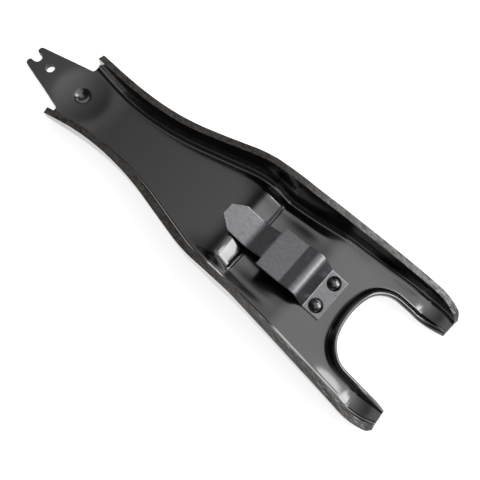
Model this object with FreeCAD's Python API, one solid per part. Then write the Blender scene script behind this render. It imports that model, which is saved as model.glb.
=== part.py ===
"""Clutch fork: one pressed-steel release lever with a riveted spring clip.

The lever is a U channel pressed from 4 mm sheet. It is built as a drawn tub: the outer form
of the pressing, less the inside of the channel, less the slot between the legs. The side view
is one bent line with rounded corners, the plan is one smooth outline, and both are shared by
every cut. The narrow end is flat and notched, with a domed push-rod seat behind it. The web
rolls down into a coined crease, where the fork rocks, and dishes out behind it. The clip is
one bent strip, held by two domed rivets.

Millimetres. X runs from the narrow tip to the leg tips, +Y is the left side seen from the
narrow tip, +Z is the open side of the channel. The origin is under the middle, on the floor.
"""
import FreeCAD, Part
import math
import os
from FreeCAD import Vector

over = 5.0                      # how far a cutting solid runs past what it cuts
reach = 60.0                    # past the widest point, to either side
tall = 60.0                     # above the highest point
margin = 0.5                    # by which a trimming solid covers a wall
tiny = 0.01                     # lengths under this count as nothing
floor_slope = 0.7               # a face whose normal points down more than this is the floor
wall_slope = 0.5                # a face whose normal is flatter than this is a wall

# ---- sheet and overall size ---------------------------------------------------------------
sheet = 4.0                     # thickness of the lever's steel
length = 298.5                  # narrow tip to leg tips
fork_length = 115.5             # crease to leg tips: the fork end is measured from its tips
crease_x = length - fork_length  # line on which the fork rocks
bend_radius = 4.0               # inside radius between web and flange
flange_lean = 3.0               # degrees, flanges open outwards

# ---- side view: (x, height) of the web's underside, with the bend radius at each corner -----
arm_knee_x = 66.0               # end of the flat narrow end
crest_x = crease_x - 11.0       # the arm rolls over here, down into the crease
crest_height = 9.2
crest_radius = 32.0
crease_height = 3.8
clip_seat_x = crease_x + 39.0   # start of the sloping fork, where the clip is riveted
clip_seat_height = 8.4
foot_x = length - 15.5          # bearing contact under each leg
foot_radius = 16.0
leg_rise = 3.6                  # leg tip above the foot
knee_radius = 120.0
seat_radius = 26.0
crease_radius = 9.0

# ---- flange edge in side view ---------------------------------------------------------------
flange_start_x = 36.5
flange_edge = [
    (flange_start_x, 13.0),
    (60.0, 19.2),
    (100.0, 23.2),
    (crease_x - 43.0, 28.2),
    (crease_x - 7.0, 34.6),
    (crease_x + 22.0, 33.0),
    (crease_x + 57.0, 26.2),
    (crease_x + 89.0, 18.4),
    (length, 8.6),
]

# ---- plan: half width between the flanges, at the level of the web ----------------------------
plan_level = 10.0
flange_start_half = 21.7        # where the flanges begin, behind the narrow end
waist = (88.6, 14.2)            # corner of the outline at the arm's waist
shoulder = (crease_x - 22.1, 31.9)   # the arm has widened to the pivot
pivot_back = (crease_x + 14.0, 33.0)  # the outline widens again to the legs
leg_side = (crease_x + 104.0, 41.6)  # the legs turn in towards their tips
leg_tip_half = 37.9
outline_radii = [187.0, 90.0, 200.0, 40.0]
leg_end_radius = 18.0           # the legs' ends are rounded in plan
leg_middle = 33.5               # middle of a leg's end, from the middle plane
arc_share = 0.5                 # an arc takes up no more than this much of a run between arcs
end_arc_share = 0.9             # nor more than this much of a run at the line's end

# ---- narrow end ---------------------------------------------------------------------------
tip_half_width = 6.9
shoulder_half_width = 16.2      # where the flat end meets the flanges
flat_overlap = 7.5              # how far the flat end runs into the channel
notch_width = 6.2
notch_depth = 6.3
prong_radius = 1.6
cable_hole_x = 14.5
cable_hole_radius = 3.0
shoulder_radius = 2.2
shoulder_step = 2.2

# ---- push-rod seat: a cone with a rounded nose, raised on the open side, hollow on the back --
seat_x = 42.0
dome_radius = 16.8
dome_height = 5.4
nose_radius_across = 3.2
cone_top = (6.4, 2.8)           # (radius, height) where the nose meets the cone
cone_foot = 15.0
dome_bends = [4.0, 8.0, 9.0]    # inside radii at nose, cone top and cone foot

# ---- crease and dish: the dish is a shallow cone pressed into the web, flat in the middle -----
groove_width = 2.6
groove_depth = 0.9
groove_half_length = 24.0
dish_x = crease_x + 23.0
dish_radius = 23.0
dish_flat_radius = 9.0
dish_depth = 2.6

# ---- slot between the legs ------------------------------------------------------------------
slot_x = length - 47.9          # bottom of the slot
slot_width = 48.6
slot_bottom_radius = 42.0
slot_corner_radius = 17.0
slot_level = 9.0                # height at which the slot sizes are given
lip_sheet = 2.9                 # the lip is drawn out thinner than the sheet
lip_bend_radius = 3.0           # inside radius between web and lip
lip_lean = 8.0                  # degrees, the slot's lip leans over the slot
slot_headroom = 25.0            # the slot's lip stays lower than this above that height
lip_rise = [                    # (x, rise of the lip's edge above the web)
    (slot_x - 10.6, 9.7),
    (slot_x + 1.4, 9.4),
    (slot_x + 13.4, 6.1),
    (slot_x + 25.4, 4.2),
    (slot_x + 35.4, 2.9),
    (length, 1.7),
]

# ---- spring clip ------------------------------------------------------------------------------
clip_sheet = 1.2
clip_width = 27.6
clip_base_length = 13.0
clip_base_start = 5.6           # from the seat's corner to the clip's base, along the slope
clip_hump_x = clip_seat_x - 2.2
clip_hump_rise = 10.3           # rises are from the top of the web to the clip's underside
clip_shelf_x = clip_seat_x - 11.5
clip_shelf_rise = 8.1
clip_step_x = clip_seat_x - 28.0
clip_step_rise = 9.3
clip_low_x = clip_seat_x - 39.5
clip_low_rise = 4.9
clip_tip_x = clip_seat_x - 61.0
clip_tip_rise = 5.1
tongue_width = 18.6
tongue_tip_width = 7.6
tongue_taper = 8.0
clip_foot_radius = 1.4
clip_hump_radius = 4.6
clip_bend_radius = 3.0
clip_low_radius = 8.0

# ---- rivets -------------------------------------------------------------------------------------
rivet_spacing = 16.4
rivet_shank_radius = 2.4
rivet_head_radius = 4.5
rivet_head_height = 2.3
rivet_tail_radius = 3.8
rivet_tail_height = 1.6
rivet_clearance = 0.03


def rounded_line(points, radii):
    """Edges of a polyline in the XZ plane whose inner corners are tangent arcs."""
    edges = []
    start = Vector(points[0][0], 0, points[0][1])
    for i in range(1, len(points) - 1):
        corner = Vector(points[i][0], 0, points[i][1])
        back = Vector(points[i - 1][0], 0, points[i - 1][1]) - corner
        ahead = Vector(points[i + 1][0], 0, points[i + 1][1]) - corner
        room = min(
            back.Length * (arc_share if i > 1 else end_arc_share),
            ahead.Length * (arc_share if i < len(points) - 2 else end_arc_share))
        back.normalize()
        ahead.normalize()
        half = back.getAngle(ahead) / 2
        cut = min(radii[i - 1] / math.tan(half), room)
        radius = cut * math.tan(half)
        middle = (back + ahead).normalize()
        centre = corner + middle * (radius / math.sin(half))
        first = corner + back * cut
        last = corner + ahead * cut
        edges.append(Part.LineSegment(start, first).toShape())
        edges.append(Part.Arc(first, centre - middle * radius, last).toShape())
        start = last
    edges.append(Part.LineSegment(start, Vector(points[-1][0], 0, points[-1][1])).toShape())
    return edges


def raised_line(points, radii, distance):
    """The same bent line moved square to itself, so a strip keeps its thickness."""
    def square(a, b):
        run = Vector(b[0] - a[0], 0, b[1] - a[1]).normalize()
        return Vector(-run.z, 0, run.x)

    moved = []
    new_radii = []
    for i, point in enumerate(points):
        here = Vector(point[0], 0, point[1])
        if i == 0:
            side = square(points[0], points[1])
            moved.append(here + side * distance)
            continue
        if i == len(points) - 1:
            side = square(points[-2], points[-1])
            moved.append(here + side * distance)
            continue
        before = square(points[i - 1], point)
        after = square(point, points[i + 1])
        mitre = (before + after).normalize()
        moved.append(here + mitre * (distance / mitre.dot(before)))
        turn = before.cross(after).y
        outward = 1 if turn > 0 else -1
        new_radii.append(max(radii[i - 1] + outward * distance, margin))
    return [(v.x, v.z) for v in moved], new_radii


def height_on(edges, x):
    """Height of a bent line at x."""
    probe = Part.LineSegment(Vector(x, 0, -tall), Vector(x, 0, tall)).toShape()
    wire = Part.Wire(edges)
    return wire.distToShape(probe)[1][0][0].z


def curve(points):
    spline = Part.BSplineCurve()
    spline.interpolate(points)
    return spline.toShape()


def side_solid(edges, top, half):
    """Everything above a bent line, up to a height, between -half and +half in Y."""
    first = edges[0].Vertexes[0].Point
    last = edges[-1].Vertexes[-1].Point
    left = Vector(first.x, 0, top)
    right = Vector(last.x, 0, top)
    closing = [
        Part.LineSegment(last, right).toShape(),
        Part.LineSegment(right, left).toShape(),
        Part.LineSegment(left, first).toShape(),
    ]
    face = Part.Face(Part.Wire(edges + closing))
    face.translate(Vector(0, -half, 0))
    return face.extrude(Vector(0, 2 * half, 0))


def flange_outline(outside, level):
    """Closed plan outline of the channel at a height: straight runs joined by wide arcs."""
    grow = outside + (level - plan_level) * math.tan(math.radians(flange_lean))
    start = (flange_start_x, flange_start_half)
    side = run_on([start, waist, shoulder, pivot_back, leg_side, (length, leg_tip_half)], over)
    side = run_on(side[::-1], over)[::-1]
    side, radii = raised_line(side, outline_radii, grow)
    left = Part.Wire(rounded_line(side, radii))
    left.rotate(Vector(0, 0, 0), Vector(1, 0, 0), -90)
    left.translate(Vector(0, 0, level))
    right = left.mirror(Vector(0, 0, 0), Vector(0, 1, 0))
    ends = []
    for corner in (left.OrderedVertexes[0].Point, left.OrderedVertexes[-1].Point):
        ends.append(Part.LineSegment(corner, Vector(corner.x, -corner.y, level)).toShape())
    return Part.Wire(Part.sortEdges(left.Edges + right.Edges + ends)[0])


def channel_solid(outside):
    """The channel's plan, leaning outwards as it rises."""
    levels = (-over, tall)
    return Part.makeLoft([flange_outline(outside, z) for z in levels], True, True)


def slot_outline(outside, level):
    """Slot plan at a height: a wide arc, two corner arcs and straight sides, open at the tips."""
    shrink = outside - (level - slot_level) * math.tan(math.radians(lip_lean))
    half = slot_width / 2 + shrink
    bottom = slot_bottom_radius + shrink
    corner = slot_corner_radius + shrink
    centre_x = slot_x + slot_bottom_radius
    corner_y = slot_width / 2 - slot_corner_radius
    apart = slot_bottom_radius - slot_corner_radius
    corner_x = centre_x - math.sqrt(apart ** 2 - corner_y ** 2)
    slant = math.atan2(corner_y, centre_x - corner_x)

    def on_bottom(angle):
        return Vector(centre_x - bottom * math.cos(angle), bottom * math.sin(angle), level)

    def on_corner(angle, side):
        x = corner_x - corner * math.cos(angle)
        y = corner_y + corner * math.sin(angle)
        return Vector(x, side * y, level)

    end_x = length + 3 * over
    between = (slant + math.pi / 2) / 2
    return Part.Wire([
        Part.LineSegment(Vector(end_x, half, level), Vector(corner_x, half, level)).toShape(),
        Part.Arc(Vector(corner_x, half, level), on_corner(between, 1), on_bottom(slant)).toShape(),
        Part.Arc(on_bottom(slant), on_bottom(0), on_bottom(-slant)).toShape(),
        Part.Arc(on_bottom(-slant), on_corner(between, -1), Vector(corner_x, -half, level)).toShape(),
        Part.LineSegment(Vector(corner_x, -half, level), Vector(end_x, -half, level)).toShape(),
        Part.LineSegment(Vector(end_x, -half, level), Vector(end_x, half, level)).toShape(),
    ])


def slot_solid(outside):
    """The slot, leaning in as it rises, because its lip leans over it."""
    levels = (-over, slot_level + slot_headroom)
    return Part.makeLoft([slot_outline(outside, z) for z in levels], True, True)


def under_edge(points, half):
    """Everything below a smooth edge line in side view."""
    line = curve([Vector(x, 0, z) for x, z in points])
    first = Vector(points[0][0], 0, points[0][1])
    last = Vector(points[-1][0], 0, points[-1][1])
    low_first = Vector(first.x, 0, -over)
    low_last = Vector(last.x, 0, -over)
    face = Part.Face(Part.Wire([
        line,
        Part.LineSegment(last, low_last).toShape(),
        Part.LineSegment(low_last, low_first).toShape(),
        Part.LineSegment(low_first, first).toShape(),
    ]))
    face.translate(Vector(0, -half, 0))
    return face.extrude(Vector(0, 2 * half, 0))


def run_on(points, distance):
    """A bent line whose last leg runs on past its end."""
    last = Vector(points[-1][0], 0, points[-1][1])
    before = Vector(points[-2][0], 0, points[-2][1])
    beyond = last + (last - before).normalize() * distance
    return points[:-1] + [(beyond.x, beyond.z)]


def middle_normal(face):
    low_u, high_u, low_v, high_v = face.ParameterRange
    return face.normalAt((low_u + high_u) / 2, (low_v + high_v) / 2)


def floor_corners(solid):
    """Edges where the bent floor meets the walls, leaving out the two square ends."""
    box = solid.BoundBox
    floor = []
    walls = []
    for face in solid.Faces:
        normal = middle_normal(face)
        across = face.BoundBox
        outermost = across.XMin < box.XMin + tiny or across.XMax > box.XMax - tiny
        square_end = outermost and across.XLength < tiny
        if normal.z < -floor_slope:
            floor.append(face)
        elif abs(normal.z) < wall_slope and not square_end:
            walls.append(face)
    wall_edges = [edge for face in walls for edge in face.Edges]
    chosen = []
    for face in floor:
        for edge in face.Edges:
            if any(edge.isSame(other) for other in wall_edges):
                chosen.append(edge)
    return chosen


# ---- the side view of the lever, shared by everything ---------------------------------------
web_points = [
    (0.0, 0.0),
    (arm_knee_x, 0.0),
    (crest_x, crest_height),
    (crease_x, crease_height),
    (clip_seat_x, clip_seat_height),
    (foot_x, 0.0),
    (length, leg_rise),
]
web_radii = [knee_radius, crest_radius, crease_radius, seat_radius, foot_radius]
web_points = run_on(web_points, 3 * over)
under_web = rounded_line(web_points, web_radii)
top_points, top_radii = raised_line(web_points, web_radii, sheet)
on_web = rounded_line(top_points, top_radii)

# ---- where the clip sits: the seat's corner on top of the web, and the slope behind it --------
seat_index = web_points.index((clip_seat_x, clip_seat_height))
seat_corner, slope_end = [Vector(x, 0, z) for x, z in top_points[seat_index:seat_index + 2]]
down_slope = (slope_end - seat_corner).normalize()
off_slope = Vector(-down_slope.z, 0, down_slope.x)


def above_web(x, rise):
    """The side-view point that stands so far above the top of the web."""
    return (x, height_on(on_web, x) + rise)


def on_slope(along, across):
    """A point on top of the slope, counted from the seat's corner."""
    return seat_corner + down_slope * along + Vector(0, across, 0)


def bent_corners(form, flange_radius, lip_radius):
    """Rounds the form's floor along the flanges, and along the slot with a radius of its own."""
    beside_flange = [edge for edge in floor_corners(form) if not beside_slot(edge)]
    form = form.makeFillet(flange_radius, beside_flange)
    return form.makeFillet(lip_radius, [edge for edge in floor_corners(form) if beside_slot(edge)])


def beside_slot(edge):
    """True for an edge that runs along the slot's lip, inside or out."""
    return edge.distToShape(slot_solid(lip_sheet))[0] < tiny


def leg_ends():
    """What lies outside the legs' rounded ends."""
    start_x = length - leg_end_radius
    beyond = Part.makeBox(leg_end_radius + over, 2 * reach, tall, Vector(start_x, -reach, -over))
    for side in (1, -1):
        middle = Vector(start_x, side * leg_middle, -over)
        beyond = beyond.cut(Part.makeCylinder(leg_end_radius, tall, middle))
    return beyond


def lever_channel():
    """The channel with its slot: outer form less the inside, both rounded along the web."""
    outer = channel_solid(sheet).common(side_solid(under_web, tall, reach)).cut(slot_solid(0.0))
    outer = bent_corners(outer, bend_radius + sheet, lip_bend_radius + lip_sheet)
    inside = channel_solid(0.0).common(side_solid(on_web, tall, reach)).cut(slot_solid(lip_sheet))
    inside = bent_corners(inside, bend_radius, lip_bend_radius)
    channel = outer.cut(inside).common(under_edge(flange_edge, reach))
    lip_edge = [above_web(x, rise) for x, rise in lip_rise]
    above_lip = slot_solid(lip_sheet + margin).cut(under_edge(lip_edge, reach))
    return channel.cut(above_lip).cut(leg_ends())


def upright_edges(solid, x, y=None):
    """Edges that stand upright at x, and at either side y if it is given."""
    found = []
    for edge in solid.Edges:
        box = edge.BoundBox
        upright = box.ZLength > sheet / 2 and max(box.XLength, box.YLength) < tiny
        beside = y is None or abs(abs(box.YMin) - y) < tiny
        if upright and beside and abs(box.XMin - x) < tiny:
            found.append(edge)
    return found


def post(x, y, radius):
    """An upright cylinder through the whole sheet at the narrow end."""
    return Part.makeCylinder(radius, sheet + 2 * over, Vector(x, y, -over))


def narrow_end():
    """The flat end: tapered sides, a round-bottomed notch, and a corner into each flange."""
    back_x = flange_start_x + flat_overlap
    outer_half = shoulder_half_width + shoulder_step
    half = [
        (0.0, tip_half_width),
        (flange_start_x, shoulder_half_width),
        (flange_start_x, outer_half),
        (back_x, outer_half),
    ]
    loop = [Vector(x, y, 0) for x, y in half] + [Vector(x, -y, 0) for x, y in half[::-1]]
    plate = Part.Face(Part.makePolygon(loop + [loop[0]])).extrude(Vector(0, 0, sheet))
    round_end = notch_depth - notch_width / 2
    notch = Part.makeBox(round_end + over, notch_width, sheet + 2 * over)
    notch.translate(Vector(-over, -notch_width / 2, -over))
    plate = plate.cut(notch)
    corners = upright_edges(plate, 0.0)
    plate = plate.makeFillet(prong_radius, corners)
    plate = plate.cut(post(round_end, 0.0, notch_width / 2))
    plate = plate.makeFillet(shoulder_radius, upright_edges(plate, flange_start_x, shoulder_half_width))
    return plate.cut(post(cable_hole_x, 0.0, cable_hole_radius))


def push_rod_seat():
    """The seat's dome, turned about its own axis from a bent line and the same line raised."""
    under = [
        (0.0, dome_height),
        (nose_radius_across, dome_height),
        cone_top,
        (cone_foot, 0.0),
        (dome_radius, 0.0),
    ]
    over_points, over_radii = raised_line(under, dome_bends, sheet)
    lower = rounded_line(under, dome_bends)
    upper = rounded_line(over_points, over_radii)
    rim = Part.LineSegment(Vector(dome_radius, 0, 0), Vector(dome_radius, 0, sheet)).toShape()
    axis = Part.LineSegment(Vector(0, 0, dome_height), Vector(0, 0, dome_height + sheet)).toShape()
    profile = Part.Face(Part.Wire(Part.sortEdges(lower + upper + [rim, axis])[0]))
    dome = profile.revolve(Vector(0, 0, 0), Vector(0, 0, 1), 360)
    dome.translate(Vector(seat_x, 0, 0))
    return dome


def dish():
    """A flat-bottomed cone pressed into the web behind the crease, and its bulge below."""
    top = height_on(on_web, dish_x)
    rising = Vector(clip_seat_x - crease_x, 0, clip_seat_height - crease_height)
    rim_radius = 2 * dish_radius - dish_flat_radius
    hollow = Part.makeCone(
        dish_flat_radius, rim_radius, 2 * dish_depth,
        Vector(dish_x, 0, top - dish_depth), rising.cross(Vector(0, 1, 0)))
    bulge = hollow.copy()
    bulge.translate(Vector(0, 0, -sheet))
    return hollow, bulge.cut(side_solid(under_web, tall, reach))


def crease_groove():
    """The coined line across the web, in which the pivot's edge rocks."""
    radius = ((groove_width / 2) ** 2 + groove_depth ** 2) / (2 * groove_depth)
    height = height_on(on_web, crease_x) - groove_depth + radius
    start = Vector(crease_x, -groove_half_length, height)
    return Part.makeCylinder(radius, 2 * groove_half_length, start, Vector(0, 1, 0))


def rivet_places():
    middle = clip_base_start + clip_base_length / 2
    return [on_slope(middle, side * rivet_spacing / 2) for side in (1, -1)]


def rivet_hole(place):
    start = place - off_slope * (sheet + over)
    depth = sheet + clip_sheet + 2 * over
    return Part.makeCylinder(rivet_shank_radius + rivet_clearance, depth, start, off_slope)


def fork_lever():
    """The whole pressing: channel, narrow end, seat, dish, crease and rivet holes."""
    lever = lever_channel()
    lever = lever.fuse(narrow_end())
    lever = lever.cut(post(seat_x, 0, dome_radius)).fuse(push_rod_seat())
    hollow, bulge = dish()
    lever = lever.fuse(bulge).cut(hollow).cut(crease_groove())
    for place in rivet_places():
        lever = lever.cut(rivet_hole(place))
    return lever.removeSplitter()


def retaining_clip():
    """One bent strip: a base on the web, a hump, a shelf, and a narrower tongue that turns up."""
    base_start = on_slope(clip_base_start, 0)
    base_end = on_slope(clip_base_start + clip_base_length, 0)
    under = [
        above_web(clip_tip_x, clip_tip_rise),
        above_web(clip_low_x, clip_low_rise),
        above_web(clip_step_x, clip_step_rise),
        above_web(clip_shelf_x, clip_shelf_rise),
        above_web(clip_hump_x, clip_hump_rise),
        (base_start.x, base_start.z),
        (base_end.x, base_end.z),
    ]
    radii = [clip_low_radius, clip_bend_radius, clip_bend_radius, clip_hump_radius, clip_foot_radius]
    upper_points, upper_radii = raised_line(under, radii, clip_sheet)
    lower = rounded_line(under, radii)
    upper = rounded_line(upper_points, upper_radii)
    ends = [
        Part.LineSegment(lower[0].Vertexes[0].Point, upper[0].Vertexes[0].Point).toShape(),
        Part.LineSegment(lower[-1].Vertexes[-1].Point, upper[-1].Vertexes[-1].Point).toShape(),
    ]
    profile = Part.Face(Part.Wire(Part.sortEdges(lower + upper + ends)[0]))
    profile.translate(Vector(0, -clip_width / 2, 0))
    strip = profile.extrude(Vector(0, clip_width, 0))
    wide = clip_width / 2 + over
    half = [
        (clip_tip_x - over, tongue_tip_width / 2),
        (clip_tip_x, tongue_tip_width / 2),
        (clip_tip_x + tongue_taper, tongue_width / 2),
        (clip_step_x, tongue_width / 2),
        (clip_step_x, wide),
        (base_end.x + over, wide),
    ]
    loop = [Vector(x, y, -over) for x, y in half] + [Vector(x, -y, -over) for x, y in half[::-1]]
    plan = Part.Face(Part.makePolygon(loop + [loop[0]])).extrude(Vector(0, 0, tall))
    clip = strip.common(plan)
    for place in rivet_places():
        clip = clip.cut(rivet_hole(place))
    return clip.removeSplitter()


def cap(radius, height):
    """A domed head: a slice of a ball, flat side on z = 0."""
    ball = (radius ** 2 + height ** 2) / (2 * height)
    body = Part.makeSphere(ball, Vector(0, 0, height - ball))
    return body.common(Part.makeBox(2 * tall, 2 * tall, tall, Vector(-tall, -tall, 0)))


def rivets():
    """Two domed rivets: head on the clip, shank through clip and web, flat tail on the back."""
    head = cap(rivet_head_radius, rivet_head_height)
    head.translate(Vector(0, 0, clip_sheet))
    shank = Part.makeCylinder(rivet_shank_radius, sheet + clip_sheet, Vector(0, 0, -sheet))
    tail = Part.makeCylinder(rivet_tail_radius, rivet_tail_height, Vector(0, 0, -sheet - rivet_tail_height))
    rivet = head.fuse(shank).fuse(tail)
    solids = []
    for place in rivet_places():
        one = rivet.copy()
        one.Placement = FreeCAD.Placement(place, FreeCAD.Rotation(Vector(0, 0, 1), off_slope))
        solids.append(one.Solids[0])
    return Part.makeCompound(solids)


os.makedirs("parts", exist_ok=True)
nodes = {"fork_lever": fork_lever, "retaining_clip": retaining_clip, "rivets": rivets}
for name, make in nodes.items():
    shape = make()
    shape.translate(Vector(-length / 2, 0, 0))
    shape.exportStep("parts/" + name + ".step")
    print(name, shape.isValid(), len(shape.Solids), "solids", round(shape.Volume), "mm3")
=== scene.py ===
"""Clutch fork: the dressed model of a pressed-steel release lever with a riveted spring clip.

The lever, the clip and the rivets are surfaces worked out from a few lines in millimetres and
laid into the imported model's box. X runs from the narrow tip to the leg tips, +Z is the open side.
"""
import bpy
import numpy as np
from mathutils import Matrix, Vector


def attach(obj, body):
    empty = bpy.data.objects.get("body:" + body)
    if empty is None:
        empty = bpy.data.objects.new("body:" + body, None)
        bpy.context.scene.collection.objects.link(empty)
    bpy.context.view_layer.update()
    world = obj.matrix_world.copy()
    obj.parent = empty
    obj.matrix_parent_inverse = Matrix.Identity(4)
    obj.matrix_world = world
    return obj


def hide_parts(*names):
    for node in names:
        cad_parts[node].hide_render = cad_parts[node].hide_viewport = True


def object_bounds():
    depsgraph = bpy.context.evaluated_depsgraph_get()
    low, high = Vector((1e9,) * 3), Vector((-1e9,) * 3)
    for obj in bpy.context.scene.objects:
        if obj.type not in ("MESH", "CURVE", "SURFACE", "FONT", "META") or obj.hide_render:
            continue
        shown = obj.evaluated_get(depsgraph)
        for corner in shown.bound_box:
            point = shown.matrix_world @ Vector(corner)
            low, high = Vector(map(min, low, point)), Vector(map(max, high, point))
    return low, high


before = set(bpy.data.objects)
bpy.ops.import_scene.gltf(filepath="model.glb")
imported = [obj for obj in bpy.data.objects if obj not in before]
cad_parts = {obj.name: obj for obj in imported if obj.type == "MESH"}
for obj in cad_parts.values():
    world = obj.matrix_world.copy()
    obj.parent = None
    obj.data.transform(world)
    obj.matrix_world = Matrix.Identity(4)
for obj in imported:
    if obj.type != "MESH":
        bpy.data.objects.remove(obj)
cad_box = [list(corner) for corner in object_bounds()]

MM = 0.001
length = (cad_box[1][0] - cad_box[0][0]) / MM
tip = cad_box[0][0] / MM                 # the narrow tip, in the frame's X

# ---- sheet and bends, millimetres ----------------------------------------------------------------
sheet = 4.0
bend = 4.0                               # inside radius between web and wall
flange_lean = np.radians(3.0)
lip_sheet = 2.9                          # the lip is drawn out thinner than the sheet
lip_bend = 3.0
lip_lean = np.radians(8.0)
lip_crown = 1.4                          # the lip's edge is rounded over by this much
edge_round = 0.7                         # enamelled edges of the sheared sheet

# ---- side view of the web's underside, and plan of the flanges' inner faces ----------------------
clip_seat = (222.0, 8.4)
crease_x = 183.0
foot_x = 281.0
under_web = [(-40.0, 0.0), (66.0, 0.0), (172.0, 9.2), (crease_x, 3.8), clip_seat,
             (foot_x, 0.0), (length + 40.0, 11.8)]
under_web_radii = [120.0, 32.0, 9.0, 26.0, 16.0]
clip_corner = under_web.index(clip_seat)
flange_start = 36.5
plan_level = 10.0                        # the plan holds at this height, as the flanges lean
plan = [(flange_start, 21.7), (88.6, 14.2), (160.9, 31.9), (197.0, 33.0), (287.0, 41.6),
        (length + 11.5, 34.2)]
plan_radii = [187.0, 90.0, 200.0, 40.0]
leg_end_radius, leg_middle = 18.0, 33.5  # the legs' ends are rounded in plan
flange_edge = [(flange_start, 13.0), (60.0, 19.2), (100.0, 23.2), (140.0, 28.2), (176.0, 34.6),
               (205.0, 33.0), (240.0, 26.2), (272.0, 18.4), (length, 8.6)]
lip_rise = [(240.0, 9.7), (252.0, 9.4), (264.0, 6.1), (276.0, 4.2), (286.0, 2.9), (length, 1.7)]

# ---- narrow end ----------------------------------------------------------------------------------
tip_half, shoulder_half = 6.9, 16.2
notch_half, notch_depth = 3.1, 6.3
prong_round = 1.6
hole_x, hole_radius = 14.5, 3.0

# ---- forms in the web ----------------------------------------------------------------------------
hollow_blend = 0.25                      # softness of the hollows' edges
seat_x = 42.0
seat_radius, seat_depth = 18.0, 1.8      # a shallow round hollow
cup_radius, cup_depth = 4.8, 1.6         # and the push rod's cup in its middle
groove_half_width, groove_depth = 1.3, 0.9
groove_half_length, groove_fade = 24.0, 0.8
ridge_x, ridge_rise, ridge_length = 172.5, 2.0, 5.0        # the crest stands up before the crease
valley_x, valley_slope, valley_length = 177.0, 0.08, 9.0   # the web dips toward its middle here
root_rise, root_inner = 0.012, 14.0      # beside the pivot the web curves up to the flanges
root_from, root_to, root_fade = 160.0, 212.0, 3.0
pivot_outer, pivot_fade = 26.0, 1.2      # ridge, valley and these curves end this far out
dish_x, dish_radius, dish_depth = 206.0, 25.0, 1.6
foot_rise, foot_width = 1.3, 9.0         # the fork's web rises a little into the flange's bend
foot_from, foot_to, foot_fade_in, foot_fade_out = 254.0, 277.0, 4.0, 3.0
dimple_x, dimple_y = 285.0, 33.5         # over each bearing foot
dimple_radius, dimple_depth = 7.5, 1.1

# ---- slot ----------------------------------------------------------------------------------------
slot_x, slot_half = 250.6, 24.3
slot_bottom, slot_corner = 42.0, 17.0    # radii of the wide arc and of the corner arcs
slot_level = 9.0                         # the slot's plan holds at this height, as the lip leans

# ---- clip and rivets -----------------------------------------------------------------------------
clip_sheet = 1.2
clip_half, tongue_half, tongue_tip_half, tongue_taper = 13.8, 9.3, 3.8, 8.0
clip_rise = [(161.0, 6.6), (182.5, 4.9), (194.0, 9.3), (210.5, 8.1), (219.8, 10.3)]
clip_step_x = clip_rise[2][0]            # the strip widens from the tongue to the shelf here
clip_base = (5.6, 18.0)                  # where the base starts and ends, along the slope
clip_radii = [8.0, 3.0, 3.0, 4.6, 1.4]
clip_edge_round = 0.15
rivet_half_spacing = 8.2
head_radius, head_height = 4.5, 2.3
shank_radius = 2.4
tail_radius, tail_height = 3.8, 1.6
rivet_edge_round = 0.2

# ---- how finely the surfaces are laid ------------------------------------------------------------
web_columns, bend_columns, wall_columns = 24, 12, 6
bend_share = 0.7                         # the bend's columns take at most this much of a low wall
rim_rows = 4                             # rows of faces across a sheared edge
arm_spacing, leg_spacing, clip_spacing = 1.1, 0.75, 0.4
crest_x = 170.0
close_rows = [(crease_x, 6.0, 2.2), (crest_x, 9.0, 0.7), (seat_x, 10.0, 1.0)]  # where, wide, much
lean_from = 192.0                        # from here the rows lean back toward the slot's bottom
leg_root = 236.0                         # where the flange meets the row through the slot's bottom
past_tip = 3.0                           # a leg's rows go this far past its tip, then are cut back
hole_rows, corner_rows, prong_rows, neck_rows, taper_rows = 29, 12, 3, 6, 26
arc_points = 24                          # on each bend of the clip's side line
integral_points = 4000                   # for the spacing of the arm's rows
tongue_columns, wing_columns = 21, 6
head_points, rivet_columns = 24, 73
merge_step, merge_shift = 1e-4, 0.137    # points this near are one; the shift keeps them off ties
edge_segments, edge_angle = 2, np.radians(50.0)            # bevels, on edges sharper than this
flat_weight = 60                         # how much large faces rule the shading, 50 being evenly

# ---- camera, metres ------------------------------------------------------------------------------
camera_place = Vector((0.0947, -0.0961, 0.3947))
camera_aim = Vector((0.0277, -0.0069, 0.0090))
camera_right = Vector((0.7533, 0.6574, 0.0211))
lens_mm, sensor_mm = 52.5, 36.0
nearest, farthest = 0.01, 20.0

# ---- floor, metres, and light: strength, then fades (toward, none below, full above), as cosines -
floor_half = 3.0
paper_glow = 0.85
room_level = 0.08
wall_full, wall_top = 0.32, 0.42         # sines of the heights where the white walls dim and end
X, Y, Z = np.eye(3)
lights = [
    (1.85, [(X, -0.9, 0.25), (Y, -0.22, 0.02), (-Y, -0.68, -0.40), (Z, 0.3, 0.6)]),
    (8.0, [(X, 0.45, 0.56), (Y, 0.18, 0.34), (-Y, -0.75, -0.62), (Z, 0.25, 0.45)]),
    (7.0, [((0.30, 0.62, 0.73), 0.965, 0.99)]),
    (1.2, [((0.30, -0.32, 0.90), 0.96, 0.99)]),
    (3.0, [(Y, 0.78, 0.86), (Z, 0.05, 0.2)]),
]


# ---- lines ---------------------------------------------------------------------------------------
def unit(vector):
    """Each vector over its own length."""
    return vector / np.linalg.norm(vector, axis=-1, keepdims=True)


def corner_arcs(points, radii):
    """For each inner corner: its arc's centre, tangent points and radius.

    With h half the corner's angle, the centre lies r / sin(h) along the angle's middle line, and
    the arc starts and ends r / tan(h) from the corner.
    """
    points = np.array(points, float)
    for before, corner, after, radius in zip(points, points[1:], points[2:], radii):
        back, ahead = unit(before - corner), unit(after - corner)
        half = np.arccos(back @ ahead) / 2
        centre = corner + unit(back + ahead) * radius / np.sin(half)
        cut = radius / np.tan(half)
        yield centre, corner + back * cut, corner + ahead * cut, radius


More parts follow.
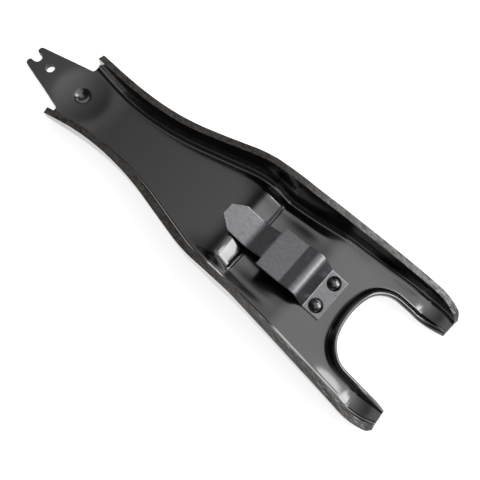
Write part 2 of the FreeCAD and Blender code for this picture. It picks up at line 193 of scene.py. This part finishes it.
def bent_line(points, radii, x):
    """Height over x of straight runs joined by arcs: on an arc, cz -/+ sqrt(r^2 - (x - cx)^2)."""
    points = np.array(points, float)
    height = np.interp(x, points[:, 0], points[:, 1])
    for centre, first, last, radius in corner_arcs(points, radii):
        side = -1 if centre[1] > first[1] else 1
        arc = centre[1] + side * np.sqrt(np.maximum(radius ** 2 - (x - centre[0]) ** 2, 0))
        height = np.where((x > first[0]) & (x < last[0]), arc, height)
    return height


def raised(points, radii, distance):
    """The same bent line moved square to itself: each corner goes out along its mitre."""
    points = np.array(points, float)
    run = unit(np.diff(points, axis=0))
    square = np.stack([-run[:, 1], run[:, 0]], 1)
    mitre = unit(square[:-1] + square[1:])
    out = distance / np.sum(mitre * square[:-1], 1, keepdims=True)
    ends = points[[0, -1]] + square[[0, -1]] * distance
    turn = run[:-1, 0] * run[1:, 1] - run[:-1, 1] * run[1:, 0]
    least = 0.5                          # a tight bend keeps at least this radius on its inside
    new_radii = np.maximum(np.array(radii) - np.sign(turn) * distance, least)
    return np.vstack([ends[:1], points[1:-1] + mitre * out, ends[1:]]), new_radii


def walked(points, radii):
    """Points along the bent line, close together: its straight runs and its arcs in turn."""
    stops = [np.array(points[0], float)[None]]
    for centre, first, last, radius in corner_arcs(points, radii):
        start = np.arctan2(*(first - centre)[::-1])
        sweep = (np.arctan2(*(last - centre)[::-1]) - start + np.pi) % (2 * np.pi) - np.pi
        angle = start + sweep * np.linspace(0, 1, arc_points)
        stops.append(centre + radius * np.stack([np.cos(angle), np.sin(angle)], 1))
    stops.append(np.array(points[-1], float)[None])
    return np.vstack(stops)


def smooth_line(points, x):
    """Natural cubic spline: the second slopes m solve the usual three-term equations."""
    px, py = np.array(points, float).T
    h = np.diff(px)
    count = len(px)
    rows = np.eye(count)
    right = np.zeros(count)
    for i in range(1, count - 1):
        rows[i, i - 1:i + 2] = h[i - 1], 2 * (h[i - 1] + h[i]), h[i]
        right[i] = 6 * ((py[i + 1] - py[i]) / h[i] - (py[i] - py[i - 1]) / h[i - 1])
    m = np.linalg.solve(rows, right)
    k = np.clip(np.searchsorted(px, x) - 1, 0, count - 2)
    a, b = px[k + 1] - x, x - px[k]
    return (m[k] * a ** 3 + m[k + 1] * b ** 3) / (6 * h[k]) \
        + (py[k] / h[k] - m[k] * h[k] / 6) * a + (py[k + 1] / h[k] - m[k + 1] * h[k] / 6) * b


def paced(low, high, spacing):
    """Stations from low to high, spacing(x) apart: equal steps of the integral of 1 / spacing."""
    fine = np.linspace(low, high, integral_points)
    pace = np.concatenate([[0], np.cumsum(np.diff(fine) / spacing((fine[1:] + fine[:-1]) / 2))])
    return np.interp(np.linspace(0, pace[-1], int(np.ceil(pace[-1])) + 1), pace, fine)


# ---- heights of the web --------------------------------------------------------------------------
web_line, web_line_radii = raised(under_web, under_web_radii, sheet)


def web(x):
    """Top of the web before any form is pressed into it: the underside's line, a sheet higher."""
    return bent_line(web_line, web_line_radii, x)


def step(x):
    """A soft step from 0 to 1 about zero: 1 / (1 + e^-x)."""
    return 1 / (1 + np.exp(-np.clip(x, -50, 50)))


def hollow(x, y, radius, depth):
    """Depth of a round hollow: h = depth (1 - (d / radius)^2), blended at its edge.

    d is the distance from its middle, and the blend is b ln(1 + e^(h / b)), with b hollow_blend.
    """
    bowl = depth * (1 - (x ** 2 + y ** 2) / radius ** 2)
    return np.logaddexp(0, bowl / hollow_blend) * hollow_blend


def seat_hollow(x, y):
    """Depth of the push-rod seat: a wide hollow and the cup in its middle, added."""
    return hollow(x - seat_x, y, seat_radius, seat_depth) \
        + hollow(x - seat_x, y, cup_radius, cup_depth)


def floor_height(x, y):
    """Top of the web: the bent line less the hollows and the crease.

    The ridge and the valley fade as e^-(d^2) along X, and the curves into the flanges rise as
    d^2. The crease is depth (1 - s^2)^1.5, with s the distance from it over its half width.
    """
    side = np.abs(y)
    height = web(x) - seat_hollow(x, y) - hollow(x - dish_x, y, dish_radius, dish_depth)
    pivot = step((pivot_outer - side) / pivot_fade)
    ridge = ridge_rise * np.exp(-((x - ridge_x) / ridge_length) ** 2)
    valley = valley_slope * side * np.exp(-((x - valley_x) / valley_length) ** 2)
    along_root = step((x - root_from) / root_fade) * step((root_to - x) / root_fade)
    root = root_rise * along_root * np.maximum(side - root_inner, 0) ** 2
    height = height + pivot * (ridge + valley + root)
    from_bend = np.maximum(bent_line(plan, plan_radii, x) - side - bend, 0)
    foot = step((x - foot_from) / foot_fade_in) * step((foot_to - x) / foot_fade_out)
    height = height + foot_rise * foot * np.maximum(1 - from_bend / foot_width, 0) ** 2
    height = height - hollow(x - dimple_x, side - dimple_y, dimple_radius, dimple_depth)
    fade = step((groove_half_length - side) / groove_fade)
    across = np.clip(np.abs(x - crease_x) / groove_half_width, 0, 1)
    return height - groove_depth * fade * (1 - across ** 2) ** 1.5


def on_floor(x, y):
    """Points of the web's top and, in a fourth column, the thickness of the sheet there.

    The sheet is thinner by the depth of the push-rod seat, so its underside stays flat there.
    """
    return np.stack([x, y, floor_height(x, y), sheet - seat_hollow(x, y)], -1)


# ---- the pressing's grids, one half of it --------------------------------------------------------
def outline(x):
    """Inner face of the flange in plan, at plan_level, and its outward direction.

    The direction is (-slope, 1) over its length, the slope being taken a nudge either side of x.
    """
    nudge = 0.05
    y = bent_line(plan, plan_radii, x)
    rise = bent_line(plan, plan_radii, x + nudge) - bent_line(plan, plan_radii, x - nudge)
    slope = rise / (2 * nudge)
    return y, unit(np.stack([-slope, np.ones_like(slope)], -1))


def bent_up(start, outward, rise, lean, bend, wall_sheet):
    """A wall bent up from the web: a quarter-turn arc less the lean, then a straight run.

    Along a, out = r sin(t) + w sin(lean) and up = r (1 - cos(t)) + w cos(lean), with t = a / r
    up to the full turn and w what is left of a past it. The sheet thins evenly round the bend.
    """
    turn = np.pi / 2 - lean
    whole = np.arccos(np.clip(1 - rise / bend, np.cos(turn), 1))
    run = bend * whole + np.maximum(rise - bend * (1 - np.cos(turn)), 0) / np.cos(lean)
    first = np.minimum(bend * turn, bend_share * run)[:, None]
    low = np.linspace(0, 1, bend_columns + 1)
    high = np.linspace(0, 1, wall_columns + 1)[1:]
    a = np.hstack([low * first, first + high * (run[:, None] - first)])
    t = np.minimum(a / bend, turn)
    w = np.maximum(a - bend * turn, 0)
    out = bend * np.sin(t) + w * np.sin(lean)
    up = bend * (1 - np.cos(t)) + w * np.cos(lean)
    flat = start[:, None, :2] + outward[:, None, :] * out[..., None]
    height = start[:, None, 2] + up
    return np.dstack([flat, height, sheet + (wall_sheet - sheet) * t / turn])


def flange_from(x):
    """The flange's bend and wall for stations whose bend starts at x.

    The bend starts r tan(turn / 2) inside the wall's line, and the wall's line itself moves in
    by the tangent of the lean for each millimetre that the web lies under plan_level.
    """
    setback = bend * np.tan((np.pi / 2 - flange_lean) / 2)
    _, outward = outline(x)
    station = x + outward[:, 0] * setback
    y, outward = outline(station)
    reach = (web(x) - plan_level) * np.tan(flange_lean) - setback
    start = on_floor(x, y + outward[:, 1] * reach)
    rise = smooth_line(flange_edge, station) - start[:, 2]
    return start, bent_up(start, outward, rise, flange_lean, bend, sheet)


def between(start, end):
    """Straight lines in plan from start to end, laid on the web."""
    f = np.linspace(0, 1, web_columns + 1)[None, :, None]
    flat = start[:, None, :2] * (1 - f) + end[:, None, :2] * f
    return on_floor(flat[..., 0], flat[..., 1])


def slot_path(run):
    """Points on the slot's edge in plan, the directions away from the slot, and the edge's length.

    run is the distance from the middle of the slot's bottom: round a wide arc, round a corner
    arc that it touches, then along the straight side.
    """
    centre_x = slot_x + slot_bottom
    corner_y = slot_half - slot_corner
    corner_x = centre_x - np.sqrt((slot_bottom - slot_corner) ** 2 - corner_y ** 2)
    slant = np.arctan2(corner_y, centre_x - corner_x)
    wide = slot_bottom * slant
    tight = slot_corner * (np.pi / 2 - slant)
    angle = np.where(run < wide, run / slot_bottom, slant + (run - wide) / slot_corner)
    angle = np.minimum(angle, np.pi / 2)
    away = np.stack([-np.cos(angle), np.sin(angle)], -1)
    on_wide = away * slot_bottom + [centre_x, 0]
    on_tight = away * slot_corner + [corner_x, corner_y]
    point = np.where((run < wide)[:, None], on_wide, on_tight)
    point[:, 0] += np.maximum(run - wide - tight, 0)
    return point, away, wide + tight + length - corner_x


def lip_setback(x):
    """How far behind the slot's edge, in plan, the lip's bend begins on the web's top.

    That is the lip's thickness, its lean up to slot_level, and the bend's r tan(turn / 2).
    """
    setback = lip_bend * np.tan((np.pi / 2 - lip_lean) / 2)
    return lip_sheet / np.cos(lip_lean) + (slot_level - web(x)) * np.tan(lip_lean) + setback


def crotch():
    """Where the lip's bend begins, on the middle line."""
    return slot_x - lip_setback(slot_x)


def fork_rows():
    """Lip, web strip and flange of one leg, from the middle of the slot's bottom to the leg tip."""
    whole = slot_path(np.zeros(1))[2] + past_tip
    run = np.linspace(0, whole, int(whole / leg_spacing))
    point, away, _ = slot_path(run)
    inner = point + away * lip_setback(point[:, 0])[:, None]
    start = on_floor(inner[:, 0], inner[:, 1])
    rise = smooth_line(lip_rise, point[:, 0]) - lip_crown
    lip = bent_up(start, -away, rise, lip_lean, lip_bend, lip_sheet)
    outer_x = leg_root + (length + past_tip - leg_root) * run / whole
    bend_start, flange = flange_from(outer_x)
    return cut_back(np.hstack([lip[:, :0:-1], between(start, bend_start), flange[:, 1:]]))


def cut_back(grid):
    """Ends each column of a leg's grid on the leg's round end.

    A column's point is past the end where x > length - R (1 - sqrt(1 - s^2)), s being its distance
    from the leg's middle over the end's radius R. The column's rows are spaced again up to there.
    """
    s = (np.abs(grid[..., 1]) - leg_middle) / leg_end_radius
    past = grid[..., 0] - length + leg_end_radius * (1 - np.sqrt(1 - s ** 2))
    after = np.argmax(past > 0, axis=0)
    column = np.arange(grid.shape[1])
    before, beyond = past[after - 1, column], past[after, column]
    stop = after - 1 + before / (before - beyond)
    at = np.linspace(0, 1, len(grid))[:, None] * stop
    low = at.astype(int)
    part = (at - low)[..., None]
    return grid[low, column] * (1 - part) + grid[low + 1, column] * part


def arm_rows():
    """Web and flange from the flange's start to the slot, on lines that lean back near the slot.

    Rows lie closer by 1 + the sum of much e^-((x - where) / wide)^2 over close_rows, and the lean
    grows as f^2 (3 - 2 f), with f running from 0 at lean_from to 1 at the slot.
    """
    def spacing(x):
        return arm_spacing / (1 + sum(
            much * np.exp(-((x - where) / wide) ** 2) for where, wide, much in close_rows))

    inner_x = paced(flange_start, crotch(), spacing)
    f = np.clip((inner_x - lean_from) / (inner_x[-1] - lean_from), 0, 1)
    outer_x = inner_x - (inner_x[-1] - leg_root) * f ** 2 * (3 - 2 * f)
    start, flange = flange_from(outer_x)
    middle = on_floor(inner_x, np.zeros_like(inner_x))
    return np.hstack([between(middle, start), flange[:, 1:]])


def narrow_rows(joint):
    """The flat end: from the notch, the hole or the middle line out to the tapered side.

    Rounded corners are quarter ellipses, 1 - sqrt(1 - s^2), and the hole and notch are circles.
    """
    fillet = joint[-1, 1] - shoulder_half
    half_turn = np.linspace(0, np.pi, hole_rows)
    quarter = np.linspace(0, np.pi / 2, corner_rows)
    notch_middle = notch_depth - notch_half
    x = np.concatenate([
        prong_round * (1 - np.cos(quarter)),
        np.linspace(prong_round, notch_middle, prong_rows)[1:],
        notch_middle + notch_half * np.sin(quarter[1:]),
        np.linspace(notch_depth, hole_x - hole_radius, neck_rows)[1:],
        hole_x - hole_radius * np.cos(half_turn[1:]),
        np.linspace(hole_x + hole_radius, flange_start - fillet, taper_rows)[1:],
        flange_start - fillet * (1 - np.sin(quarter[1:-1])),
    ])

    def corner(s):
        return 1 - np.sqrt(np.maximum(1 - np.clip(s, 0, 1) ** 2, 0))

    side = tip_half + (shoulder_half - tip_half) * x / flange_start
    side = side - prong_round * corner(1 - x / prong_round)
    side = side + fillet * corner((x - flange_start + fillet) / fillet)
    notch = np.sqrt(np.maximum(notch_half ** 2 - np.maximum(x - notch_middle, 0) ** 2, 0))
    notch = notch + prong_round * corner(1 - x / prong_round)
    hole = np.sqrt(np.maximum(hole_radius ** 2 - (x - hole_x) ** 2, 0))
    inner = np.where(x < notch_depth, notch, 0)
    inner = np.where(np.abs(x - hole_x) < hole_radius, hole, inner)
    f = np.linspace(0, 1, web_columns + 1)
    y = inner[:, None] * (1 - f) + side[:, None] * f
    grid = on_floor(np.broadcast_to(x[:, None], y.shape), y)
    return np.vstack([grid, joint[None]])


def mirrored(grid):
    """The other half: y turned round, and the columns too, so that the faces keep their side."""
    return grid[:, ::-1] * [1, -1, 1, 1]


# ---- meshes --------------------------------------------------------------------------------------
def joined(grids):
    """Points and four-sided faces of several grids, with the points that they share made one."""
    points, faces, count = [], [], 0
    for grid in grids:
        rows, columns = grid.shape[:2]
        index = count + np.arange(rows * columns).reshape(rows, columns)
        quads = [index[:-1, :-1], index[1:, :-1], index[1:, 1:], index[:-1, 1:]]
        faces.append(np.stack(quads, -1).reshape(-1, 4))
        points.append(grid.reshape(-1, grid.shape[2]))
        count += rows * columns
    points, faces = np.vstack(points), np.vstack(faces)
    cell = np.round(points / merge_step + merge_shift)
    _, first, same = np.unique(cell, axis=0, return_index=True, return_inverse=True)
    return points[first], same.reshape(-1)[faces]


def point_normals(points, faces):
    """Area-weighted mean of the normals round each point, each the cross of a face's diagonals."""
    a, b, c, d = [points[faces[:, k]] for k in range(4)]
    normal = np.cross(c - a, d - b)
    total = np.zeros_like(points)
    for k in range(4):
        np.add.at(total, faces[:, k], normal)
    return unit(total)


def thick(points, faces, thickness, crown=0.0):
    """A closed sheet: the top, the same points moved back along their normals, and the rim.

    A crowned rim stands out as half an ellipse: middle + n (h cos(a)) + o (c sin(a)), with n the
    sheet's normal, h half its thickness, o the way out along the sheet and c the crown's height.
    """
    count = len(points)
    normal = point_normals(points, faces)
    below = points - normal * thickness
    start, end = faces.reshape(-1), np.roll(faces, -1, 1).reshape(-1)
    free = ~np.isin(start * count + end, end * count + start) & (start != end)
    start, end = start[free], end[free]
    along = np.zeros_like(points)
    np.add.at(along, start, points[end] - points[start])
    np.add.at(along, end, points[end] - points[start])
    edge = np.unique(start)
    out = unit(np.cross(along[edge], normal[edge]))
    at = np.zeros(count, int)
    at[edge] = np.arange(len(edge))
    half = np.broadcast_to(thickness, (count, 1))[edge] / 2
    middle = points[edge] - normal[edge] * half
    height = np.broadcast_to(crown, (count, 1))[edge]
    angle = np.linspace(0, np.pi, rim_rows + 1)[1:-1]
    levels = [middle + normal[edge] * half * np.cos(a) + out * height * np.sin(a) for a in angle]
    base = 2 * count + np.arange(rim_rows - 1)[:, None] * len(edge)
    from_start = np.vstack([start, base + at[start], start + count])
    from_end = np.vstack([end, base + at[end], end + count])
    rim = np.stack([from_end[:-1], from_start[:-1], from_start[1:], from_end[1:]], -1)
    return np.vstack([points, below] + levels), [faces, faces[:, ::-1] + count, rim.reshape(-1, 4)]


def built(name, points, face_groups, materials, edge, node):
    """Makes the piece in the frame's metres, which rides on the root in place of its CAD node.

    The third group of faces, the rim's, takes the last material, and the others the first.
    """
    mesh = bpy.data.meshes.new(name)
    place = (points + [tip, 0, 0]) * MM
    faces = np.vstack(face_groups)
    mesh.from_pydata(place.tolist(), [], faces.tolist())
    for material in materials:
        mesh.materials.append(material)
    group = np.repeat(np.arange(len(face_groups)), [len(g) for g in face_groups])
    mesh.polygons.foreach_set("material_index", np.where(group == 2, len(materials) - 1, 0))
    mesh.validate()
    mesh.shade_smooth()
    piece = bpy.data.objects.new(name, mesh)
    bpy.context.scene.collection.objects.link(piece)
    rounded = piece.modifiers.new("rounded_edges", "BEVEL")
    rounded.width = edge * MM
    rounded.segments = edge_segments
    rounded.angle_limit = edge_angle
    even = piece.modifiers.new("even_shading", "WEIGHTED_NORMAL")
    even.weight = flat_weight
    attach(piece, "root")
    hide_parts(node)


# ---- materials -----------------------------------------------------------------------------------
def linear(code):
    """sRGB hex to linear colour: v / 12.92 where v is low, else ((v + 0.055) / 1.055)^2.4."""
    value = np.array([int(code[i:i + 2], 16) for i in (1, 3, 5)]) / 255
    value = np.where(value <= 0.04045, value / 12.92, ((value + 0.055) / 1.055) ** 2.4)
    return (*value, 1.0)


def new_material(name):
    """A material of that name, its node tree and its Principled shader."""
    material = bpy.data.materials.new(name)
    material.use_nodes = True
    tree = material.node_tree
    return material, tree, tree.nodes["Principled BSDF"]


def add(tree, kind, settings=None, *feeds, **links):
    """Adds a node. Settings are its attributes, or socket values by the socket's name or number.

    Feeds go into its sockets in order, and links into the sockets of those names.
    """
    node = tree.nodes.new(kind)
    for key, value in (settings or {}).items():
        if isinstance(key, str) and hasattr(node, key):
            setattr(node, key, value)
        else:
            node.inputs[key].default_value = value
    for socket, source in zip(node.inputs, feeds):
        tree.links.new(source, socket)
    for key, source in links.items():
        tree.links.new(source, node.inputs[key.replace("_", " ")])
    return node


def gloss_enamel():
    """Dipped gloss black enamel: a nearly black film whose light is all in its reflection.

    Its orange peel and its slow swells bend the reflection, and fine dust dulls it in places.
    """
    material, tree, shader = new_material("dipped_black_enamel")
    peel_size, swell_size, dust_size = 2.6 * MM, 14 * MM, 9 * MM
    place = add(tree, "ShaderNodeTexCoord").outputs["Object"]
    peel = add(tree, "ShaderNodeTexNoise", {"Scale": 1 / peel_size, "Detail": 2.0}, Vector=place)
    swell = add(tree, "ShaderNodeTexNoise", {"Scale": 1 / swell_size, "Detail": 1.0}, Vector=place)
    dust = add(tree, "ShaderNodeTexNoise", {"Scale": 1 / dust_size, "Detail": 5.0}, Vector=place)
    peeled = add(tree, "ShaderNodeBump", {"Strength": 0.10, "Distance": 0.1 * MM},
                 Height=peel.outputs["Fac"])
    swelled = add(tree, "ShaderNodeBump", {"Strength": 0.25, "Distance": 0.35 * MM},
                  Height=swell.outputs["Fac"], Normal=peeled.outputs["Normal"])
    rough = add(tree, "ShaderNodeMapRange",
                {"From Min": 0.3, "From Max": 0.75, "To Min": 0.16, "To Max": 0.27},
                Value=dust.outputs["Fac"])
    tree.links.new(rough.outputs["Result"], shader.inputs["Roughness"])
    tree.links.new(swelled.outputs["Normal"], shader.inputs["Normal"])
    shader.inputs["Base Color"].default_value = linear("#040406")
    shader.inputs["Coat Weight"].default_value = 1.0
    shader.inputs["Coat Roughness"].default_value = 0.12
    return material


def sheared_enamel():
    """The sheared edge under thin enamel: brownish, with glossy runs and fine marks along it."""
    material, tree, shader = new_material("enamelled_sheared_edge")
    mark_size, run_size = 0.6 * MM, 2.2 * MM
    drawn_out = (0.35, 1.0, 1.0)         # both are about three times as long along the lever
    place = add(tree, "ShaderNodeTexCoord").outputs["Object"]
    drawn = add(tree, "ShaderNodeMapping", {"Scale": drawn_out}, Vector=place).outputs["Vector"]
    marks = add(tree, "ShaderNodeTexNoise", {"Scale": 1 / mark_size, "Detail": 3.0}, Vector=drawn)
    runs = add(tree, "ShaderNodeTexNoise", {"Scale": 1 / run_size, "Detail": 2.0}, Vector=drawn)
    tone = add(tree, "ShaderNodeValToRGB", Fac=marks.outputs["Fac"])
    dark, pale = tone.color_ramp.elements
    dark.position, dark.color = 0.35, linear("#080707")
    pale.position, pale.color = 0.7, linear("#3a342e")
    rough = add(tree, "ShaderNodeMapRange",
                {"From Min": 0.4, "From Max": 0.6, "To Min": 0.16, "To Max": 0.5},
                Value=runs.outputs["Fac"])
    marked = add(tree, "ShaderNodeBump", {"Strength": 0.8, "Distance": 0.18 * MM},
                 Height=marks.outputs["Fac"])
    wavy = add(tree, "ShaderNodeBump", {"Strength": 0.8, "Distance": 0.5 * MM},
               Height=runs.outputs["Fac"], Normal=marked.outputs["Normal"])
    tree.links.new(tone.outputs["Color"], shader.inputs["Base Color"])
    tree.links.new(rough.outputs["Result"], shader.inputs["Roughness"])
    tree.links.new(wavy.outputs["Normal"], shader.inputs["Normal"])
    return material


def spring_steel():
    """Blued and oiled spring steel: dark satin metal with fine rolling grain along the strip."""
    material, tree, shader = new_material("oiled_spring_steel")
    grain_size = 0.35 * MM
    drawn_out = (0.12, 1.0, 0.12)        # the grain runs along the strip, up and down its bends too
    place = add(tree, "ShaderNodeTexCoord").outputs["Object"]
    drawn = add(tree, "ShaderNodeMapping", {"Scale": drawn_out}, Vector=place).outputs["Vector"]
    grain = add(tree, "ShaderNodeTexNoise", {"Scale": 1 / grain_size, "Detail": 3.0}, Vector=drawn)
    tone = add(tree, "ShaderNodeValToRGB", Fac=grain.outputs["Fac"])
    dark, pale = tone.color_ramp.elements
    dark.color, pale.color = linear("#3a3a3c"), linear("#77777a")
    rough = add(tree, "ShaderNodeMapRange", {"To Min": 0.24, "To Max": 0.36},
                Value=grain.outputs["Fac"])
    rolled = add(tree, "ShaderNodeBump", {"Strength": 0.3, "Distance": 0.02 * MM},
                 Height=grain.outputs["Fac"])
    tree.links.new(tone.outputs["Color"], shader.inputs["Base Color"])
    tree.links.new(rough.outputs["Result"], shader.inputs["Roughness"])
    tree.links.new(rolled.outputs["Normal"], shader.inputs["Normal"])
    shader.inputs["Metallic"].default_value = 0.85
    return material


# ---- pieces --------------------------------------------------------------------------------------
def fork_lever(enamel, edge_enamel):
    """The pressing: both halves' grids as one skin, thickened downward, with nothing below z = 0.

    The lip's edge is crowned, more so where the sheet is drawn thinner, and it is gloss as the
    rest is. The other sheared edges have the rough enamel.
    """
    arm = arm_rows()
    fork = fork_rows()
    narrow = narrow_rows(arm[0, :web_columns + 1])
    halves = [arm, fork, narrow]
    points, faces = joined(halves + [mirrored(grid) for grid in halves])
    place, thickness = points[:, :3], points[:, 3:]
    crown = lip_crown * (place[:, :1] > crotch()) * (sheet - thickness) / (sheet - lip_sheet)
    solid, (top, below, rim) = thick(place, faces, thickness, crown)
    solid[:, 2] = np.maximum(solid[:, 2], 0.0)
    middle = solid[rim].mean(axis=1)
    on_lip = (middle[:, 0] > crotch()) & (np.abs(middle[:, 1]) < slot_half + sheet)
    groups = [np.vstack([top, rim[on_lip]]), below, rim[~on_lip]]
    built("pressed_lever", solid, groups, [enamel, edge_enamel], edge_round,
          "fork_lever")


def slope():
    """The slope under the clip: its corner on top of the web, its direction and its normal."""
    corner, ahead = web_line[clip_corner], web_line[clip_corner + 1]
    down = unit(ahead - corner)
    return corner, down, np.array([-down[1], down[0]])


def spring_clip(steel):
    """The clip's strip: its side line, raised by its thickness, carried across its width.

    Along the line the tongue widens evenly from its tip over tongue_taper, and the strip is
    clip_half wide to each side from clip_step_x on.
    """
    corner, down, _ = slope()
    under = [(x, web(np.array(x)) + rise) for x, rise in clip_rise]
    under = under + [tuple(corner + down * along) for along in clip_base]
    line = walked(*raised(under, clip_radii, clip_sheet))
    run = np.concatenate([[0], np.cumsum(np.hypot(*np.diff(line, axis=0).T))])
    step_run = np.interp(clip_step_x, line[:, 0], run)

    def strip(low, high, half_at, f):
        along = np.linspace(low, high, int((high - low) / clip_spacing))
        x, z = np.interp(along, run, line[:, 0]), np.interp(along, run, line[:, 1])
        y = half_at(along)[:, None] * f
        return np.stack([np.broadcast_to(x[:, None], y.shape), y,
                         np.broadcast_to(z[:, None], y.shape)], -1)

    def tapered(along):
        return np.interp(along, [0, tongue_taper], [tongue_tip_half, tongue_half])

    def even(along):
        return np.full_like(along, tongue_half)

    inner = np.linspace(-1, 1, tongue_columns)
    wing = np.linspace(1, clip_half / tongue_half, wing_columns)[1:]
    tongue = strip(0, step_run, tapered, inner)
    body = strip(step_run, run[-1], even, np.concatenate([-wing[::-1], inner, wing]))
    points, faces = joined([tongue, body])
    solid, groups = thick(points, faces, clip_sheet)
    built("spring_clip", solid, groups, [steel], clip_edge_round, "retaining_clip")


def rivet_pair(enamel):
    """Two turned rivets: a ball-cap head on the clip, a shank and a flat tail on the back.

    The head is r = b sin(a), height = b cos(a) - b + h, with b the radius of the ball that it is
    cut from and h its own height.
    """
    ball = (head_radius ** 2 + head_height ** 2) / (2 * head_height)
    cap = np.linspace(0, np.arcsin(head_radius / ball), head_points)
    head = np.stack([ball * np.sin(cap), ball * np.cos(cap) - ball + head_height + clip_sheet], 1)
    shank = [(shank_radius, clip_sheet), (shank_radius, -sheet)]
    tail = [(tail_radius, -sheet), (tail_radius, -sheet - tail_height), (0, -sheet - tail_height)]
    profile = np.vstack([head, shank, tail])
    round_axis = np.linspace(0, 2 * np.pi, rivet_columns)
    r, z = profile[:, :1], np.broadcast_to(profile[:, 1:], (len(profile), rivet_columns))
    corner, down, square = slope()
    middle = corner + down * sum(clip_base) / 2
    along = r * np.cos(round_axis)
    grids = []
    for side in (-1, 1):
        x = middle[0] + along * down[0] + z * square[0]
        y = side * rivet_half_spacing + r * np.sin(round_axis)
        up = middle[1] + along * down[1] + z * square[1]
        grids.append(np.stack([x, y, up], -1))
    points, faces = joined(grids)
    built("domed_rivets", points, [faces], [enamel], rivet_edge_round, "rivets")


# ---- stage ---------------------------------------------------------------------------------------
def seen_or_mirrored(tree):
    """1 for light that goes straight to the eye, or there by way of gloss or glass, else 0."""
    path = add(tree, "ShaderNodeLightPath").outputs
    by_way = add(tree, "ShaderNodeMath", {"operation": "MAXIMUM"},
                 path["Is Glossy Ray"], path["Is Transmission Ray"])
    either = add(tree, "ShaderNodeMath", {"operation": "MAXIMUM"},
                 path["Is Camera Ray"], by_way.outputs["Value"])
    return either.outputs["Value"]


def floor():
    """Matt paper. It gives the eye some light of its own, so that the shadow on it stays faint."""
    mesh = bpy.data.meshes.new("floor")
    corners = [(-1, -1), (1, -1), (1, 1), (-1, 1)]
    mesh.from_pydata([(x * floor_half, y * floor_half, 0) for x, y in corners], [], [(0, 1, 2, 3)])
    material, tree, shader = new_material("white_paper")
    lift = add(tree, "ShaderNodeMath", {"operation": "MULTIPLY", 1: paper_glow},
               seen_or_mirrored(tree))
    tree.links.new(lift.outputs["Value"], shader.inputs["Emission Strength"])
    shader.inputs["Emission Color"].default_value = (1, 1, 1, 1)
    shader.inputs["Base Color"].default_value = linear("#a4a4a4")
    shader.inputs["Roughness"].default_value = 0.9
    shader.inputs["Specular IOR Level"].default_value = 0.2
    mesh.materials.append(material)
    piece = bpy.data.objects.new("floor", mesh)
    bpy.context.scene.collection.objects.link(piece)


def glow(tree, direction, strength, fades):
    """Light from part of the room: its strength times a smooth fade along each given direction."""
    total = None
    for toward, none, full in fades:
        cosine = add(tree, "ShaderNodeVectorMath",
                     {"operation": "DOT_PRODUCT", 1: unit(np.array(toward, float))}, direction)
        fade = add(tree, "ShaderNodeMapRange", {
            "interpolation_type": "SMOOTHSTEP", "From Min": none, "From Max": full,
            "To Max": strength if total is None else 1.0}, Value=cosine.outputs["Value"])
        if total is None:
            total = fade.outputs["Result"]
        else:
            total = add(tree, "ShaderNodeMath", {"operation": "MULTIPLY"},
                        total, fade.outputs["Result"]).outputs["Value"]
    return total


def studio():
    """A dim room with soft lights over the lever and beside it, and low white walls all round.

    The walls are white to the eye and in gloss alone, so they add no light to matt surfaces.
    The light is the room's level plus every lamp's glow, or the walls' where that is more.
    """
    world = bpy.data.worlds.new("studio")
    bpy.context.scene.world = world
    world.use_nodes = True
    tree = world.node_tree
    direction = add(tree, "ShaderNodeTexCoord").outputs["Generated"]
    total = glow(tree, direction, 1.0, [(-Z, -wall_top, -wall_full)])
    total = add(tree, "ShaderNodeMath", {"operation": "MULTIPLY"}, total, seen_or_mirrored(tree))
    walls = total.outputs["Value"]
    first, *others = [glow(tree, direction, strength, fades) for strength, fades in lights]
    total = add(tree, "ShaderNodeMath", {"operation": "ADD", 1: room_level}, first)
    for light in others:
        total = add(tree, "ShaderNodeMath", {"operation": "ADD"}, total.outputs["Value"], light)
    total = add(tree, "ShaderNodeMath", {"operation": "MAXIMUM"}, total.outputs["Value"], walls)
    tree.links.new(total.outputs["Value"], tree.nodes["Background"].inputs["Strength"])
    tree.nodes["Background"].inputs["Color"].default_value = (1, 1, 1, 1)


def camera():
    """Looks from its place to its aim, with camera_right made square to that line."""
    lens = bpy.data.cameras.new("camera")
    lens.sensor_width = sensor_mm
    lens.lens = lens_mm
    lens.clip_start, lens.clip_end = nearest, farthest
    forward = (camera_aim - camera_place).normalized()
    right = (camera_right - forward * camera_right.dot(forward)).normalized()
    up = right.cross(forward)
    viewer = bpy.data.objects.new("camera", lens)
    turn = Matrix((right, up, -forward)).transposed().to_4x4()
    viewer.matrix_world = Matrix.Translation(camera_place) @ turn
    bpy.context.scene.collection.objects.link(viewer)
    bpy.context.scene.camera = viewer


black = gloss_enamel()
fork_lever(black, sheared_enamel())
spring_clip(spring_steel())
rivet_pair(black)
floor()
studio()
camera()
bpy.context.scene.view_settings.view_transform = "Standard"
